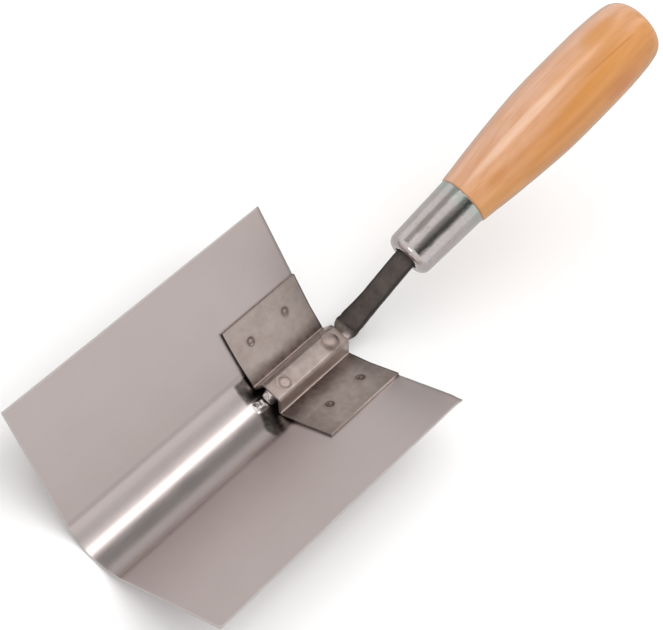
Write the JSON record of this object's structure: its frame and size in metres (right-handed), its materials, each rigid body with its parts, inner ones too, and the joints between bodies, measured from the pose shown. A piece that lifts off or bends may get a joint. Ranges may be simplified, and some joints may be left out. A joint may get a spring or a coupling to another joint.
{
  "type": "inside corner trowel",
  "caption": "Rounded-nose inside corner trowel: a bent steel blade with a welded bracket, a cranked shank and a ferruled turned wood handle.",
  "frame": {"origin": "lowest line of the rounded nose, at the blade's back edge, in the tool's symmetry plane", "axes": "+Y along the nose from the back edge to the front edge, +Z from the nose towards the hollow side and the handle, X across the wings"},
  "size_m": [0.1, 0.267, 0.0959],
  "materials": {
    "blade_steel": "satin polished stainless sheet, fine lengthwise grain",
    "bracket_steel": "mill finish sheet, slightly warmer and duller than the blade",
    "dark_steel": "hot rolled bar with black mill scale",
    "plated_steel": "bright zinc plate, lightly drawn",
    "varnished_wood": "turned hardwood under honey lacquer",
    "weld": "heat tinted spot weld"
  },
  "bodies": {
    "root": {"blade": "blade_steel", "bracket": "bracket_steel", "shank": "dark_steel", "ferrule": "plated_steel", "handle": "varnished_wood", "wing_spot_welds": "weld", "shank_spot_welds": "weld"}
  },
  "joints": []
}
